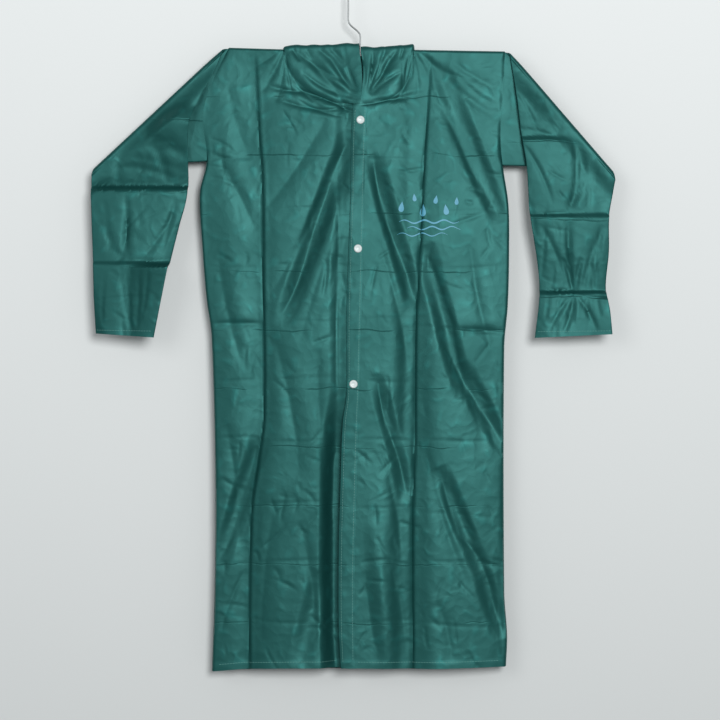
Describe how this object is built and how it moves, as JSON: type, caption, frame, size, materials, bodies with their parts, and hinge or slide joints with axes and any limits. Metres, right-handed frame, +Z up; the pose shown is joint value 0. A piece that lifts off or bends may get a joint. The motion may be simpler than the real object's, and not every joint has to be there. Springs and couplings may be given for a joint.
{
  "type": "raincoat on a hanger",
  "caption": "Hooded raincoat of thin coated film with long sleeves folded down and a snap-fastened front, hanging flat by the hook of its wire hanger.",
  "frame": {"origin": "The seat of the hook: the underside of the hanger's wire at the top of its arc, where a rail or wall hook carries it.", "axes": "+Z up, along the length of the coat. The front of the coat faces -Y and its back +Y. The wearer's right side lies towards -X."},
  "size_m": [0.7328, 0.0594, 0.974],
  "materials": {
    "coat_film": "satin",
    "snap_plastic": "satin",
    "hanger_wire": "satin"
  },
  "bodies": {
    "root": {"front_right": "coat_film", "front_left": "coat_film", "back": "coat_film", "sleeve_right": "coat_film", "sleeve_left": "coat_film", "hood_right": "coat_film", "hood_left": "coat_film", "placket": "coat_film", "snap_1": "snap_plastic", "snap_2": "snap_plastic", "snap_3": "snap_plastic", "hanger": "hanger_wire"}
  },
  "joints": []
}
